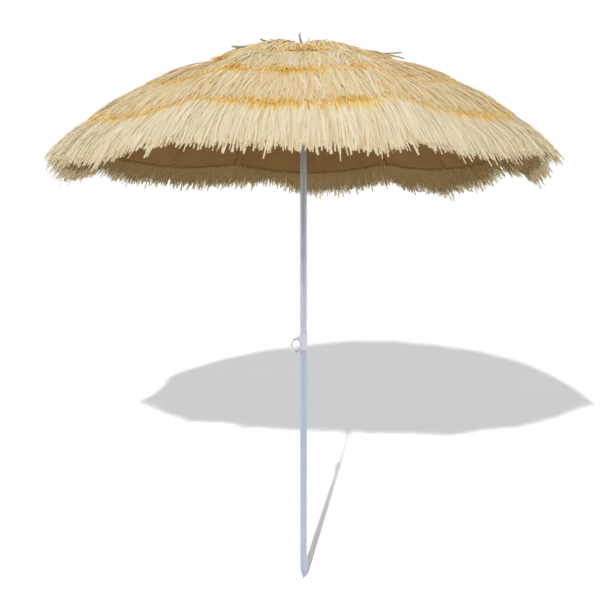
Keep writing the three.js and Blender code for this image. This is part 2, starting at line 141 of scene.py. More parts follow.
def on_canopy(azimuth, arc, lift):
    """Points above the fabric: arc is the way down from the top, lift the height off the cloth."""
    across = np.abs((azimuth - FIRST_RIB + HALF_SECTOR) % (2 * HALF_SECTOR) - HALF_SECTOR)
    panel = np.floor((azimuth - FIRST_RIB) / (2 * HALF_SECTOR)).astype(int) % RIBS
    sink = 1 - (1 - across / HALF_SECTOR) ** 2
    covered = np.minimum(arc, HEM_ARC)
    angle = covered / DOME_RADIUS
    sag = HEM_SAG * (covered / HEM_ARC) ** SAG_POWER * sink * np.array(PANEL_SLACK)[panel]
    beyond = arc - covered
    droop = np.radians(DROOP + DROOP_BETWEEN * sink)
    out_of = angle + np.minimum(beyond / BEND_LENGTH, 1) * (droop - angle) * 0.8
    reach = DOME_RADIUS - sag
    radius = reach * np.sin(angle) + beyond * np.cos(droop) + lift * np.sin(out_of)
    height = DOME_CENTRE + reach * np.cos(angle) - beyond * np.sin(droop) + lift * np.cos(out_of)
    return np.stack([radius * np.cos(azimuth), radius * np.sin(azimuth), height], -1)


def outward(azimuth, arc):
    """The direction straight out of the dome."""
    angle = np.minimum(arc, HEM_ARC + 0.03) / DOME_RADIUS
    sine = np.sin(angle)
    return np.stack([sine * np.cos(azimuth), sine * np.sin(azimuth), np.cos(angle)], -1)


def degrees_off(azimuth, middle):
    return (np.degrees(azimuth) - middle + 180) % 360 - 180


def hump(azimuth, middle, width):
    """1 at the middle azimuth, falling off to both sides by the half width in degrees."""
    return np.exp(-((degrees_off(azimuth, middle) / width) ** 2))


def fringe_cut(azimuth):
    """How much longer than even the fringe is: it is shorter in front than at the back."""
    longer = -0.008 + 0.016 * np.sin(azimuth)
    for middle, width, extra in FRINGE_CUT:
        longer = longer + extra * hump(azimuth, middle, width)
    return longer


# ---------------------------------------------------------------- materials
def linear(red, green, blue):
    """Display values from 0 to 255 as a shader colour."""
    shares = [c / 255 for c in (red, green, blue)]
    values = [c / 12.92 if c <= 0.04045 else ((c + 0.055) / 1.055) ** 2.4 for c in shares]
    return (*values, 1.0)


class Finish:
    """A material's node tree, with short calls for the nodes that these finishes use."""

    def __init__(self, name):
        self.material = bpy.data.materials.new(name)
        self.material.use_nodes = True
        self.tree = self.material.node_tree
        self.tree.nodes.clear()
        output = self.node("OutputMaterial")
        self.shader = self.node("BsdfPrincipled")
        self.link(self.shader.outputs["BSDF"], output.inputs["Surface"])

    def node(self, kind, **settings):
        made = self.tree.nodes.new("ShaderNode" + kind)
        for key, value in settings.items():
            setattr(made, key, value)
        return made

    def link(self, source, target):
        self.tree.links.new(source, target)

    def feed(self, socket, value):
        if isinstance(value, bpy.types.NodeSocket):
            self.link(value, socket)
        else:
            socket.default_value = value

    def place(self, stretch=(1, 1, 1)):
        coordinates = self.node("TexCoord")
        mapping = self.node("Mapping")
        mapping.inputs["Scale"].default_value = stretch
        self.link(coordinates.outputs["Object"], mapping.inputs["Vector"])
        return mapping.outputs["Vector"]

    def noise(self, vector, scale, detail=2.0, roughness=0.5):
        made = self.node("TexNoise")
        self.feed(made.inputs["Vector"], vector)
        made.inputs["Scale"].default_value = scale
        made.inputs["Detail"].default_value = detail
        made.inputs["Roughness"].default_value = roughness
        return made.outputs["Fac"]

    def dice(self, value, shift):
        """A steady random number from 0 to 1 for each whole number."""
        made = self.node("TexWhiteNoise", noise_dimensions="1D")
        self.link(self.maths("ADD", value, shift), made.inputs["W"])
        return made.outputs["Value"]

    def maths(self, operation, first, second=0.0):
        made = self.node("Math", operation=operation)
        self.feed(made.inputs[0], first)
        self.feed(made.inputs[1], second)
        return made.outputs[0]

    def span(self, value, low, high, start=0.0, end=1.0, smooth=False):
        made = self.node("MapRange", clamp=True)
        made.interpolation_type = "SMOOTHSTEP" if smooth else "LINEAR"
        for name, number in (("Value", value), ("From Min", low), ("From Max", high)):
            self.feed(made.inputs[name], number)
        self.feed(made.inputs["To Min"], start)
        self.feed(made.inputs["To Max"], end)
        return made.outputs["Result"]

    def ramp(self, value, *stops):
        made = self.node("ValToRGB")
        band = made.color_ramp
        while len(band.elements) < len(stops):
            band.elements.new(0.5)
        for element, (position, colour) in zip(band.elements, stops):
            element.position = position
            element.color = colour
        self.link(value, made.inputs["Fac"])
        return made.outputs["Color"]

    def mix(self, share, first, second):
        made = self.node("Mix", data_type="RGBA")
        self.feed(made.inputs["Factor"], share)
        self.feed(made.inputs[6], first)
        self.feed(made.inputs[7], second)
        return made.outputs[2]

    def finish(self, colour, roughness, height, depth, metallic=0.0):
        bump = self.node("Bump")
        bump.inputs["Distance"].default_value = depth
        self.link(height, bump.inputs["Height"])
        self.link(bump.outputs["Normal"], self.shader.inputs["Normal"])
        self.feed(self.shader.inputs["Base Color"], colour)
        self.feed(self.shader.inputs["Roughness"], roughness)
        self.shader.inputs["Metallic"].default_value = metallic
        return self.material


def coated(name, dark, light, roughness, metallic=0.0):
    """Paint, plastic or zinc: two close tones, fine grain and faint wear along the piece."""
    made = Finish(name)
    cloud = made.noise(made.place(), 14, 3, 0.6)
    streaks = made.noise(made.place((1, 1, 0.06)), 160, 2, 0.6)
    tone = made.maths("ADD", made.maths("MULTIPLY", cloud, 0.7), made.maths("MULTIPLY", streaks, 0.3))
    colour = made.ramp(tone, (0.35, dark), (0.65, light))
    rough = made.span(tone, 0.3, 0.7, roughness - 0.06, roughness + 0.08)
    grain = made.noise(made.place(), COAT_GRAIN, 2)
    return made.finish(colour, rough, grain, COAT_RELIEF, metallic)


def straw():
    """Paper straw. The columns of the UV layer are kinds of strand and its height runs down them.
    Upper and lower kinds have a dyed root, strong and pale ones are dyed all along, and the plain,
    tan and grey ones aren't dyed. The tan ones turn grey-brown towards their tips, which is painted
    shade."""
    made = Finish("straw")
    layer = made.node("UVMap", uv_map=UV_NAME)
    split = made.node("SeparateXYZ")
    made.link(layer.outputs["UV"], split.inputs["Vector"])
    column = made.maths("MULTIPLY", split.outputs["X"], KINDS)
    kind = made.maths("FLOOR", column)
    down = split.outputs["Y"]
    stretched = made.node("Mapping")
    stretched.inputs["Scale"].default_value = (KINDS * 3.0, 5.0, 1.0)
    made.link(layer.outputs["UV"], stretched.inputs["Vector"])
    fibre = made.noise(stretched.outputs["Vector"], 1.0, 3, 0.6)
    blotch_place = made.node("Mapping")
    blotch_place.inputs["Scale"].default_value = (KINDS * 0.7, 9.0, 1.0)
    made.link(layer.outputs["UV"], blotch_place.inputs["Vector"])
    blotch = made.noise(blotch_place.outputs["Vector"], 1.0, 2, 0.5)

    def among(first, end):
        """1 for the kinds from the first up to, but not including, the end."""
        above = made.maths("GREATER_THAN", kind, first - 0.5)
        return made.maths("MULTIPLY", above, made.maths("LESS_THAN", kind, end - 0.5))

    cream = made.ramp(
        made.dice(kind, 0.5),
        (0.0, linear(214, 196, 158)),
        (0.25, linear(228, 213, 178)),
        (0.5, linear(233, 222, 192)),
        (0.75, linear(224, 212, 181)),
        (1.0, linear(236, 229, 205)),
    )
    cream = made.mix(made.span(fibre, 0.35, 0.65, 0.0, 0.22), cream, linear(208, 184, 138))
    cream = made.mix(made.span(down, 0.93, 0.99, 0.0, 0.25), cream, linear(222, 196, 148))
    warmth = made.span(made.dice(kind, 2.5), 0.0, 1.0, 0.05, 0.80)
    upper = made.maths("MULTIPLY", among(*UPPER), warmth)
    upper = made.maths("MAXIMUM", upper, made.maths("MULTIPLY", among(*LOWER), 0.10))
    top = made.maths("MULTIPLY", among(*PLAIN), warmth)
    cream = made.mix(upper, cream, linear(222, 187, 124))
    cream = made.mix(top, cream, linear(236, 202, 138))
    # Painted shade: the tan strands darken to grey-brown towards their tips, standing in for the
    # shade inside the fringe.
    tan = made.mix(made.span(down, 0.76, 0.98, 0.0, 0.8), linear(176, 147, 99), linear(134, 124, 106))
    cream = made.mix(among(*TAN), cream, tan)
    cream = made.mix(among(*GREY), cream, linear(150, 144, 122))
    patchy = made.maths("MULTIPLY", blotch, 0.75)
    by_kind = made.maths("MULTIPLY", made.dice(kind, 9.5), 0.3)
    gold = made.ramp(
        made.maths("ADD", patchy, by_kind),
        (0.30, linear(200, 146, 52)),
        (0.50, linear(228, 182, 86)),
        (0.75, linear(240, 212, 140)),
    )
    gold = made.mix(made.maths("MULTIPLY", among(*PALE), 0.52), gold, linear(238, 219, 168))
    strong = made.maths("LESS_THAN", made.maths("MODULO", kind, ROOTED), STRONGLY - 0.5)
    reach = made.span(made.dice(kind, 4.5), 0.0, 1.0, 0.14, 0.28)
    reach = made.maths("ADD", reach, made.maths("MULTIPLY", strong, 0.14))
    root = made.span(down, made.maths("MULTIPLY", reach, 0.5), reach, 1.0, 0.0, smooth=True)
    with_root = among(UPPER[0], LOWER[1])
    rooted = made.maths("MULTIPLY", with_root, made.span(strong, 0.0, 1.0, 0.60, 0.95))
    share = made.maths("MAXIMUM", made.maths("MULTIPLY", root, rooted), among(STRONG[0], PALE[1]))
    colour = made.mix(share, cream, gold)
    rough = made.span(fibre, 0.3, 0.7, 0.55, 0.80)
    made.shader.inputs["Specular IOR Level"].default_value = 0.35
    return made.finish(colour, rough, fibre, 0.0004)


def cloth():
    """Plain-woven brown fabric."""
    made = Finish("brown_cloth")
    place = made.place()
    warp = made.node("TexWave", bands_direction="X")
    weft = made.node("TexWave", bands_direction="Y")
    for wave in (warp, weft):
        made.link(place, wave.inputs["Vector"])
        wave.inputs["Scale"].default_value = 260
        wave.inputs["Distortion"].default_value = 0.6
    weave = made.maths("MULTIPLY", made.maths("ADD", warp.outputs["Fac"], weft.outputs["Fac"]), 0.5)
    cloud = made.noise(place, 9, 4, 0.6)
    tone = made.maths("ADD", made.maths("MULTIPLY", cloud, 0.7), made.maths("MULTIPLY", weave, 0.3))
    colour = made.ramp(tone, (0.30, linear(146, 111, 63)), (0.70, linear(167, 132, 79)))
    rough = made.span(weave, 0.0, 1.0, 0.75, 0.92)
    return made.finish(colour, rough, weave, 0.0003)


def braid_finish():
    """Dyed twisted straw cord."""
    made = Finish("gold_cord")
    place = made.place()
    fibre = made.noise(place, 420, 3, 0.6)
    cloud = made.noise(place, 26, 2, 0.5)
    tone = made.maths("ADD", made.maths("MULTIPLY", fibre, 0.5), made.maths("MULTIPLY", cloud, 0.5))
    colour = made.ramp(
        tone,
        (0.32, linear(200, 145, 54)),
        (0.52, linear(224, 177, 82)),
        (0.70, linear(236, 206, 124)),
    )
    return made.finish(colour, made.span(fibre, 0.3, 0.7, 0.5, 0.8), fibre, 0.0005)


def floor_finish(value, near, far):
    """Pale matt floor that fades into the white backdrop from near to far metres out."""
    made = Finish("pale_floor")
    place = made.place()
    cloud = made.noise(place, 0.7, 2, 0.5)
    shades = [(0.3 + 0.2 * step, value + step) for step in (0, 1, 2)]
    colour = made.ramp(cloud, *((at, linear(tone, tone - 1, tone - 5)) for at, tone in shades))
    length = made.node("VectorMath", operation="LENGTH")
    made.link(place, length.inputs[0])
    solid = made.span(length.outputs["Value"], near, far, 1.0, 0.0, smooth=True)
    made.link(solid, made.shader.inputs["Alpha"])
    made.shader.inputs["Specular IOR Level"].default_value = 0.0
    return made.finish(colour, made.span(cloud, 0.3, 0.7, 0.85, 0.95), cloud, 0.0001)


FINISHES = {
    "pole": coated("pole_coat", linear(186, 195, 216), linear(198, 206, 226), 0.34),
    "collar": coated("collar_plastic", linear(220, 221, 240), linear(230, 231, 246), 0.42),
    "zinc": coated("zinc_wire", linear(178, 178, 174), linear(206, 205, 200), 0.36, 0.6),
    "steel": coated("frame_steel", linear(136, 132, 126), linear(160, 156, 150), 0.5, 0.2),
    "plastic": coated("frame_plastic", linear(226, 223, 214), linear(238, 236, 229), 0.5),
}
NODE_FINISHES = {
    "lower_pole": "pole",
    "ground_spike": "pole",
    "upper_pole": "pole",
    "clamp_collar": "collar",
    "clamp_screw": "zinc",
    "screw_ring": "zinc",
    "crown_wire": "zinc",
    "runner_wire": "zinc",
    "pole_plug": "plastic",
    "crown_hub": "plastic",
    "top_cap": "plastic",
    "runner": "plastic",
    "rib_tip": "plastic",
    "runner_catch": "steel",
    "rib": "steel",
    "rib_bracket": "steel",
    "stretcher": "steel",
}
for node_name, node_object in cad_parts.items():
    family = node_name.rstrip("0123456789").rstrip("_")
    if family in NODE_FINISHES:
        for slot in node_object.material_slots:
            slot.material = FINISHES[NODE_FINISHES[family]]

STRAW = straw()
CLOTH = cloth()
BRAID = braid_finish()
STRAW_PIECES = []


# ---------------------------------------------------------------- meshes
def add_mesh(name, vertices, faces, material, uvs=None):
    mesh = bpy.data.meshes.new(name)
    mesh.from_pydata(vertices.tolist(), [], faces)
    if uvs is not None:
        layer = mesh.uv_layers.new(name=UV_NAME)
        layer.data.foreach_set("uv", uvs.astype(np.float32).ravel())
    mesh.materials.append(material)
    made = bpy.data.objects.new(name, mesh)
    bpy.context.scene.collection.objects.link(made)
    return made


def on_rib(piece, index):
    """The piece turns with its rib, on a mesh of its own."""
    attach(piece, f"rib_body_{index + 1}")
    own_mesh(piece)
    return piece


class Strands:
    """Straw strands, each a slim three-sided strip, gathered into one mesh."""

    def __init__(self):
        self.paths = []
        self.aside = []
        self.up = []
        self.kinds = []

    def add(self, path, normal, width, thickness, twist, kinds):
        """path is strands by rings by 3; width is strands by rings; twist turns the section."""
        run = np.gradient(path, axis=1)
        run /= np.linalg.norm(run, axis=-1, keepdims=True) + 1e-12
        aside = np.cross(run, normal)
        aside /= np.linalg.norm(aside, axis=-1, keepdims=True) + 1e-12
        up = np.cross(aside, run)
        cosine, sine = np.cos(twist)[..., None], np.sin(twist)[..., None]
        aside, up = aside * cosine + up * sine, up * cosine - aside * sine
        self.paths.append(path)
        self.aside.append(aside * width[..., None] / 2)
        self.up.append(up * thickness[..., None])
        self.kinds.append(kinds)

    def build(self, name):
        rings = self.paths[0].shape[1]
        path = np.concatenate(self.paths)
        aside = np.concatenate(self.aside)
        up = np.concatenate(self.up)
        kinds = np.concatenate(self.kinds)
        count = len(path)
        corners = np.stack([path + aside - up / 3, path - aside - up / 3, path + up * 2 / 3], 2)
        start = (np.arange(count) * rings * 3)[:, None, None]
        ring = (np.arange(rings - 1) * 3)[None, :, None]
        side = np.arange(3)[None, None, :]
        following = (side + 1) % 3
        low = start + ring
        quads = np.stack([low + side, low + 3 + side, low + 3 + following, low + following], -1)
        first = start[:, 0] + np.array([[0, 1, 2]])
        last = start[:, 0] + (rings - 1) * 3 + np.array([[0, 2, 1]])
        faces = quads.reshape(-1, 4).tolist() + first.tolist() + last.tolist()
        across = np.array([0.0, 0.8, 0.4])
        down = 0.02 + 0.96 * np.arange(rings) / (rings - 1)
        u_side = (kinds[:, None] + 0.1 + across[None, :]) / KINDS
        u = np.stack([u_side, u_side, np.roll(u_side, -1, 1), np.roll(u_side, -1, 1)], -1)
        u = np.broadcast_to(u[:, None], (count, rings - 1, 3, 4))
        v = np.stack([down[:-1], down[1:], down[1:], down[:-1]], -1)
        v = np.broadcast_to(v[None, :, None, :], (count, rings - 1, 3, 4))
        wall_uv = np.stack([u, v], -1).reshape(-1, 2)
        first_uv = np.stack([u_side, np.full_like(u_side, down[0])], -1).reshape(-1, 2)
        last_uv = np.stack([u_side[:, [0, 2, 1]], np.full_like(u_side, down[-1])], -1).reshape(-1, 2)
        uvs = np.concatenate([wall_uv, first_uv, last_uv])
        made = add_mesh(name, corners.reshape(-1, 3), faces, STRAW, uvs)
        STRAW_PIECES.append(made)
        return made


def spread(low, high, count):
    return chance.uniform(low, high, count)


def lay_strands(bundle, azimuth, arc, length, yaw, root_lift, tip_lift, kinds, wave=0.004,
                bulge=0.0, curl=0.0, width=(0.0034, 0.0050), lowest=0.0015):
    """Strands down the dome from azimuth and arc; yaw is their slant and curl its change."""
    count = len(azimuth)
    share = np.linspace(0, 1, RINGS)[None, :]
    slant = yaw[:, None] + np.reshape(curl, (-1, 1)) * share
    step = length[:, None] / (RINGS - 1)
    along = np.concatenate([np.zeros((count, 1)), np.cumsum(np.cos(slant[:, :-1]) * step, 1)], 1)
    aside = np.concatenate([np.zeros((count, 1)), np.cumsum(np.sin(slant[:, :-1]) * step, 1)], 1)
    phase, turns = spread(0, 2 * np.pi, count)[:, None], spread(0.5, 1.6, count)[:, None]
    sway = wave * spread(0.2, 1, count)[:, None]
    aside = aside + sway * np.sin(phase + 2 * np.pi * turns * share) * share
    down = arc[:, None] + along
    around = azimuth[:, None] + aside / np.maximum(DOME_RADIUS * np.sin(down / DOME_RADIUS), 0.04)
    lift = root_lift[:, None] + (tip_lift - root_lift)[:, None] * share ** 1.4
    lift = lift + np.reshape(bulge, (-1, 1)) * np.sin(np.pi * share)
    lift = lift + 0.0012 * np.sin(phase * 3 + 2 * np.pi * turns * 1.7 * share)
    path = on_canopy(around, down, np.maximum(lift, lowest))
    breadth = spread(*width, count)[:, None] * (1 - 0.25 * share ** 6)
    thickness = np.full((count, RINGS), 0.0010)
    twist = spread(-0.25, 0.25, count)[:, None] + spread(-0.6, 0.6, count)[:, None] * share
    bundle.add(path, outward(around, down), breadth, thickness, twist, kinds)


def kinds_from(group, count):
    return chance.integers(*group, count)


def dye_strength(tier, azimuth):
    """From 0 to 1 along a band."""
    strength = np.zeros_like(azimuth)
    for middle, width, most in STRONG_DYE[tier]:
        off = np.abs(degrees_off(azimuth, middle))
        strength = np.maximum(strength, most * np.clip(1.3 - off / width, 0, 1))
    return strength


def around_rib(index, count):
    """Evenly jittered azimuths across one sector."""
    place = (np.arange(count) + spread(0, 1, count)) / count * 2 - 1
    return FIRST_RIB + index * 2 * HALF_SECTOR + place * HALF_SECTOR


def thatch(tier, index):
    """One sector of a tier: its layers from the cloth outwards, the gold strand heads along its
    root and, in the lowest tier, the straw inside the fringe."""
    root, tip, full, layers, slant, uneven, wave, root_top, tip_top, bow = TIERS[tier]
    bundle = Strands()
    for layer in range(layers):
        count = full // RIBS
        azimuth = around_rib(index, count)
        outermost = layer / (layers - 1)
        start = root + spread(-0.004, 0.006, count)
        end = tip + chance.normal(0, uneven, count)
        if tier == "a":
            start = root + spread(0, 0.05, count)
            end = end - 0.05 * dye_strength("b", azimuth)
        if tier == "d":
            end = end + fringe_cut(azimuth)
        longer = chance.random(count) < 0.10
        end = end + longer * spread(0.008, 0.024, count)
        yaw = chance.normal(0, slant, count)
        curl = chance.normal(0, slant * 0.8, count)
        root_lift = 0.002 + (root_top - 0.002) * outermost + spread(0, 0.002, count)
        tip_lift = 0.002 + (tip_top - 0.002) * outermost + spread(-0.002, 0.003, count)
        flying = (chance.random(count) < 0.02) & (layer == layers - 1)
        tip_lift = tip_lift + flying * spread(0.004, 0.014, count)
        bulge = bow * outermost + spread(-0.001, 0.003, count)
        if tier in "cd":
            thinner = 1 - FLATTEST[2] * hump(azimuth, *FLATTEST[:2])
            root_lift, tip_lift = root_lift * thinner, tip_lift * thinner
        if tier == "a":
            for middle, width, rise in HUMPS:
                bulge = bulge + rise * outermost * hump(azimuth, middle, width)
            pick = chance.random(count)
            kinds = np.where(pick < 0.06, kinds_from(TAN, count), kinds_from(PLAIN, count))
            kinds = np.where(pick > 0.80, kinds_from(PALE, count), kinds)
        else:
            kinds = kinds_from(LOWER if tier == "d" else UPPER, count)
            strong = chance.random(count) < 0.14 + 0.84 * dye_strength(tier, azimuth)
            kinds = kinds // ROOTED * ROOTED + kinds % STRONGLY + np.where(strong, 0, STRONGLY)
        width = (0.0056, 0.0076) if layer == 0 else (0.0042, 0.0062)
        lay_strands(bundle, azimuth, start, end - start, yaw, root_lift, tip_lift, kinds,
                    wave=wave, bulge=bulge, curl=curl, width=width)
    if tier != "a":
        count = int(full * 0.9) // RIBS
        azimuth = around_rib(index, count)
        strong = chance.random(count) < 0.12 + 0.75 * dye_strength(tier, azimuth)
        kinds = np.where(strong, kinds_from(STRONG, count), kinds_from(PALE, count))
        raised = (0.012 if tier == "b" else 0.005) * dye_strength(tier, azimuth)
        lay_strands(bundle, azimuth, root - 0.010 + spread(-0.006, 0.008, count),
                    spread(0.022, 0.042, count), chance.normal(0, 0.35, count),
                    root_top - 0.003 + raised + spread(0, 0.003, count),
                    root_top - 0.001 + raised + spread(0, 0.004, count),
                    kinds, wave=0.002, bulge=spread(0.002, 0.006, count), width=(0.0030, 0.0046))
    if tier == "d":
        # The straw inside the fringe is all of the tan kinds, whose tips carry painted shade.
        count = full // RIBS
        for _ in range(2):
            azimuth = around_rib(index, count)
            end = tip - 0.012 - 0.024 * np.cos(azimuth) ** 6 + fringe_cut(azimuth)
            end = end + chance.normal(0, 0.012, count)
            start = HEM_ARC - spread(0.002, 0.014, count)
            lay_strands(bundle, azimuth, start, end - start, chance.normal(0, 0.05, count),
                        spread(-0.0030, -0.0020, count), spread(-0.003, 0.002, count),
                        kinds_from(TAN, count), width=(0.0040, 0.0056), lowest=-0.005)
    return on_rib(bundle.build(f"thatch_{tier}_{index + 1}"), index)


# ---------------------------------------------------------------- cloth
def shell(name, rows, columns, place, material):
    """A thin closed sheet: place(row, column, side) gives its points for side 0 below and 1 above."""
    row = np.linspace(0, 1, rows)[:, None] * np.ones((1, columns))
    column = np.linspace(-1, 1, columns)[None, :] * np.ones((rows, 1))
    low, high = place(row, column, 0), place(row, column, 1)
    points = np.concatenate([low.reshape(-1, 3), high.reshape(-1, 3)])
    size = rows * columns
    cell = (np.arange(rows - 1)[:, None] * columns + np.arange(columns - 1)[None, :]).ravel()
    under = np.stack([cell, cell + columns, cell + columns + 1, cell + 1], 1)
    over = np.stack([cell, cell + 1, cell + columns + 1, cell + columns], 1) + size
    grid = np.arange(size).reshape(rows, columns)
    rim = np.concatenate([grid[0, :-1], grid[:-1, -1], grid[-1, :0:-1], grid[:0:-1, 0]])
    onward = np.roll(rim, -1)
    edge = np.stack([rim, onward, onward + size, rim + size], 1)
    faces = np.concatenate([under, over, edge])
    made = add_mesh(name, points, faces.tolist(), material)
    for polygon in made.data.polygons:
        polygon.use_smooth = polygon.index < 2 * len(cell)
    return made


def fabric(index):
    """One cloth panel, from the crown to the hem, with its hem, side seams and rib pocket."""
    centre = FIRST_RIB + index * 2 * HALF_SECTOR

    def panel(row, column, side):
        arc = FABRIC_TOP_ARC + (HEM_ARC - FABRIC_TOP_ARC) * row
        return on_canopy(centre + column * HALF_SECTOR, arc, side * CLOTH_THICKNESS)

    def hem(row, column, side):
        arc = HEM_ARC - HEM_WIDTH * (1 - row)
        lift = STRIP_LIFT + side * STRIP_THICKNESS
        return on_canopy(centre + column * HALF_SECTOR, arc, lift)

    def seam(edge):
        def strip(row, column, side):
            arc = SEAM_TOP_ARC + (HEM_ARC - SEAM_TO_HEM - SEAM_TOP_ARC) * row
            radius = DOME_RADIUS * np.sin(arc / DOME_RADIUS)
            inset = SEAM_WIDTH / 2 * (1 - column * edge) / radius
            azimuth = centre + edge * (HALF_SECTOR - inset)
            return on_canopy(azimuth, arc, STRIP_LIFT + side * STRIP_THICKNESS)

        return strip

    def pocket(row, column, side):
        arc = HEM_ARC - POCKET_LENGTH + (POCKET_LENGTH + POCKET_PAST_HEM) * row
        azimuth = centre + column * POCKET_HALF_WIDTH / HEM_RADIUS
        fullness = (1 - np.abs(column) ** 2.4) ** 0.8 * (1 - np.maximum(row - 0.9, 0) / 0.1)
        depth = CLOTH_THICKNESS + POCKET_DEPTH * fullness
        return on_canopy(azimuth, arc, side * STRIP_THICKNESS - depth)

    cloth_piece = shell(f"cloth_{index + 1}", 34, 25, panel, CLOTH)
    extras = [shell(f"hem_{index + 1}", 4, 25, hem, CLOTH)]
    for side, label in ((-1, "left"), (1, "right")):
        extras.append(
            shell(f"seam_{label}_{index + 1}", 30, 2, seam(side), CLOTH)
        )
    sleeve = shell(f"rib_pocket_{index + 1}", 24, 17, pocket, CLOTH)
    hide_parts(f"canopy_{index + 1}")
    for piece in (cloth_piece, *extras):
        on_rib(piece, index)
    on_rib(sleeve, index)


def braid(index):
    """A two-ply cord over each tier's strand heads, along the three lower tiers' roots."""
    centre = FIRST_RIB + index * 2 * HALF_SECTOR
    points, faces = [], []
    base = 0
    sides = PLY_SIDES
    for root in TIER_ROOTS[1:]:
        radius = DOME_RADIUS * math.sin(root / DOME_RADIUS)
        steps = int(2 * HALF_SECTOR * radius / CORD_STEP)
        azimuth = centre + np.linspace(-1, 1, steps) * HALF_SECTOR
        turn = azimuth * radius / CORD_PITCH * 2 * math.pi
        for ply in (0, 1):
            wind = turn + ply * math.pi
            middle_arc = root - CORD_SHIFT + PLY_OFFSET * np.cos(wind)
            middle_lift = CORD_LIFT + PLY_OFFSET * np.sin(wind)
            around = np.arange(sides) / sides * 2 * math.pi
            arc = middle_arc[:, None] + PLY_RADIUS * np.cos(around)[None, :]
            lift = middle_lift[:, None] + PLY_RADIUS * np.sin(around)[None, :]
            ring = on_canopy(azimuth[:, None] * np.ones((1, sides)), arc, lift)
            points.append(ring.reshape(-1, 3))
            start = base + (np.arange(steps - 1) * sides)[:, None]
            side = np.arange(sides)[None, :]
            after = (side + 1) % sides
            ahead = start + sides
            quads = np.stack([start + side, start + after, ahead + after, ahead + side], -1)
            faces += quads.reshape(-1, 4).tolist()
            faces.append((base + np.arange(sides)[::-1]).tolist())
            faces.append((base + (steps - 1) * sides + np.arange(sides)).tolist())
            base += steps * sides
    made = add_mesh(f"braid_{index + 1}", np.concatenate(points), faces, BRAID)
    return on_rib(made, index)


def crown_tuft():
    """Loose straw over the top cap, which stays on the pole when the canopy folds."""
    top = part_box("top_cap")[1].z
    bundle = Strands()
    count = TUFT_COUNT
    azimuth = spread(0, 2 * math.pi, count)
    inner = spread(-0.02, CAP_REACH, count)
    outer = inner + spread(0.055, 0.105, count)
    share = np.linspace(0, 1, RINGS)[None, :]
    radius = inner[:, None] + (outer - inner)[:, None] * share
    turn = azimuth[:, None] + chance.normal(0, 0.25, count)[:, None] * share
    dome = DOME_CENTRE + np.sqrt(DOME_RADIUS**2 - radius**2)
    over = top + 0.002 - TUFT_SLOPE * np.maximum(np.abs(radius) - CAP_REACH, 0)
    height = np.maximum(over, dome + 0.013) + spread(0, 0.006, count)[:, None]
    wisp = chance.random(count) < 0.10
    height = height + wisp[:, None] * spread(0.008, 0.034, count)[:, None] * share ** 1.6
    height = height + 0.002 * np.sin(share * 5 + azimuth[:, None] * 7)
    path = np.stack([radius * np.cos(turn), radius * np.sin(turn), height], -1)
    normal = np.zeros_like(path)
    normal[..., 2] = 1
    breadth = spread(0.0031, 0.0045, count)[:, None] * (1 - 0.25 * share**6)
    twist = spread(-0.8, 0.8, count)[:, None] + spread(-1.2, 1.2, count)[:, None] * share
    thickness = np.full((count, RINGS), 0.0011)
    bundle.add(path, normal, breadth, thickness, twist, kinds_from(PLAIN, count))
    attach(bundle.build("crown_tuft"), "upper_body")


# Stray strands that stand out of the crown: each runs through points given as distance to the
# right of the pole, distance towards the front and height.
WISPS = (
    ((-0.060, 0.150, 1.782), (-0.118, 0.170, 1.790), (-0.139, 0.180, 1.797)),
    ((-0.030, 0.140, 1.786), (-0.070, 0.150, 1.792), (-0.098, 0.160, 1.796)),
    ((0.010, 0.120, 1.786), (-0.028, 0.130, 1.794), (-0.058, 0.150, 1.797)),
    ((0.000, 0.100, 1.788), (-0.006, 0.120, 1.806), (-0.017, 0.130, 1.816), (-0.010, 0.130, 1.826)),
    ((0.030, 0.120, 1.786), (0.046, 0.130, 1.792), (0.058, 0.140, 1.801)),
    ((-0.100, 0.140, 1.774), (-0.180, 0.130, 1.780), (-0.236, 0.120, 1.783)),
    ((-0.120, 0.130, 1.772), (-0.190, 0.110, 1.778), (-0.225, 0.100, 1.782)),
    ((0.170, 0.100, 1.776), (0.240, 0.090, 1.772), (0.262, 0.080, 1.768)),
    ((0.190, 0.060, 1.776), (0.270, 0.050, 1.774), (0.330, 0.050, 1.778)),
    ((0.200, 0.080, 1.770), (0.290, 0.060, 1.766), (0.338, 0.050, 1.756)),
)


def wisps():
    """The wisps go with the rib whose sector they start in."""
    share = np.linspace(0, 1, RINGS)
    bundles = {}
    for points in WISPS:
        right, front, height = np.array(points).T
        knots = np.linspace(0, 1, len(points))
        fit = [np.polyval(np.polyfit(knots, axis, 2), share) for axis in (right, -front, height)]
        path = np.stack(fit, -1)[None]
        azimuth = math.atan2(path[0, 0, 1], path[0, 0, 0])
        index = int(round((azimuth - FIRST_RIB) / (2 * HALF_SECTOR))) % RIBS
        normal = np.zeros_like(path)
        normal[..., 1] = -1
        breadth, thickness = np.full((1, RINGS), 0.0058), np.full((1, RINGS), 0.0016)
        twist = share[None] * 0.6
        bundle = bundles.setdefault(index, Strands())
        bundle.add(path, normal, breadth, thickness, twist, kinds_from(GREY, 1))
    for index, bundle in sorted(bundles.items()):
        on_rib(bundle.build(f"wisps_{index + 1}"), index)


for rib_index in range(RIBS):
    fabric(rib_index)
    braid(rib_index)
    for tier_name in TIERS:
        thatch(tier_name, rib_index)
crown_tuft()
wisps()

# ---------------------------------------------------------------- floor, light and camera
bpy.ops.mesh.primitive_plane_add(size=40, location=(0, 0, -0.001))
floor = bpy.context.object
floor.name = "floor"
floor.data.materials.append(floor_finish(238, 7.5, 13.0))
floor.visible_diffuse = False  # the bright floor would light the canopy's underside too much


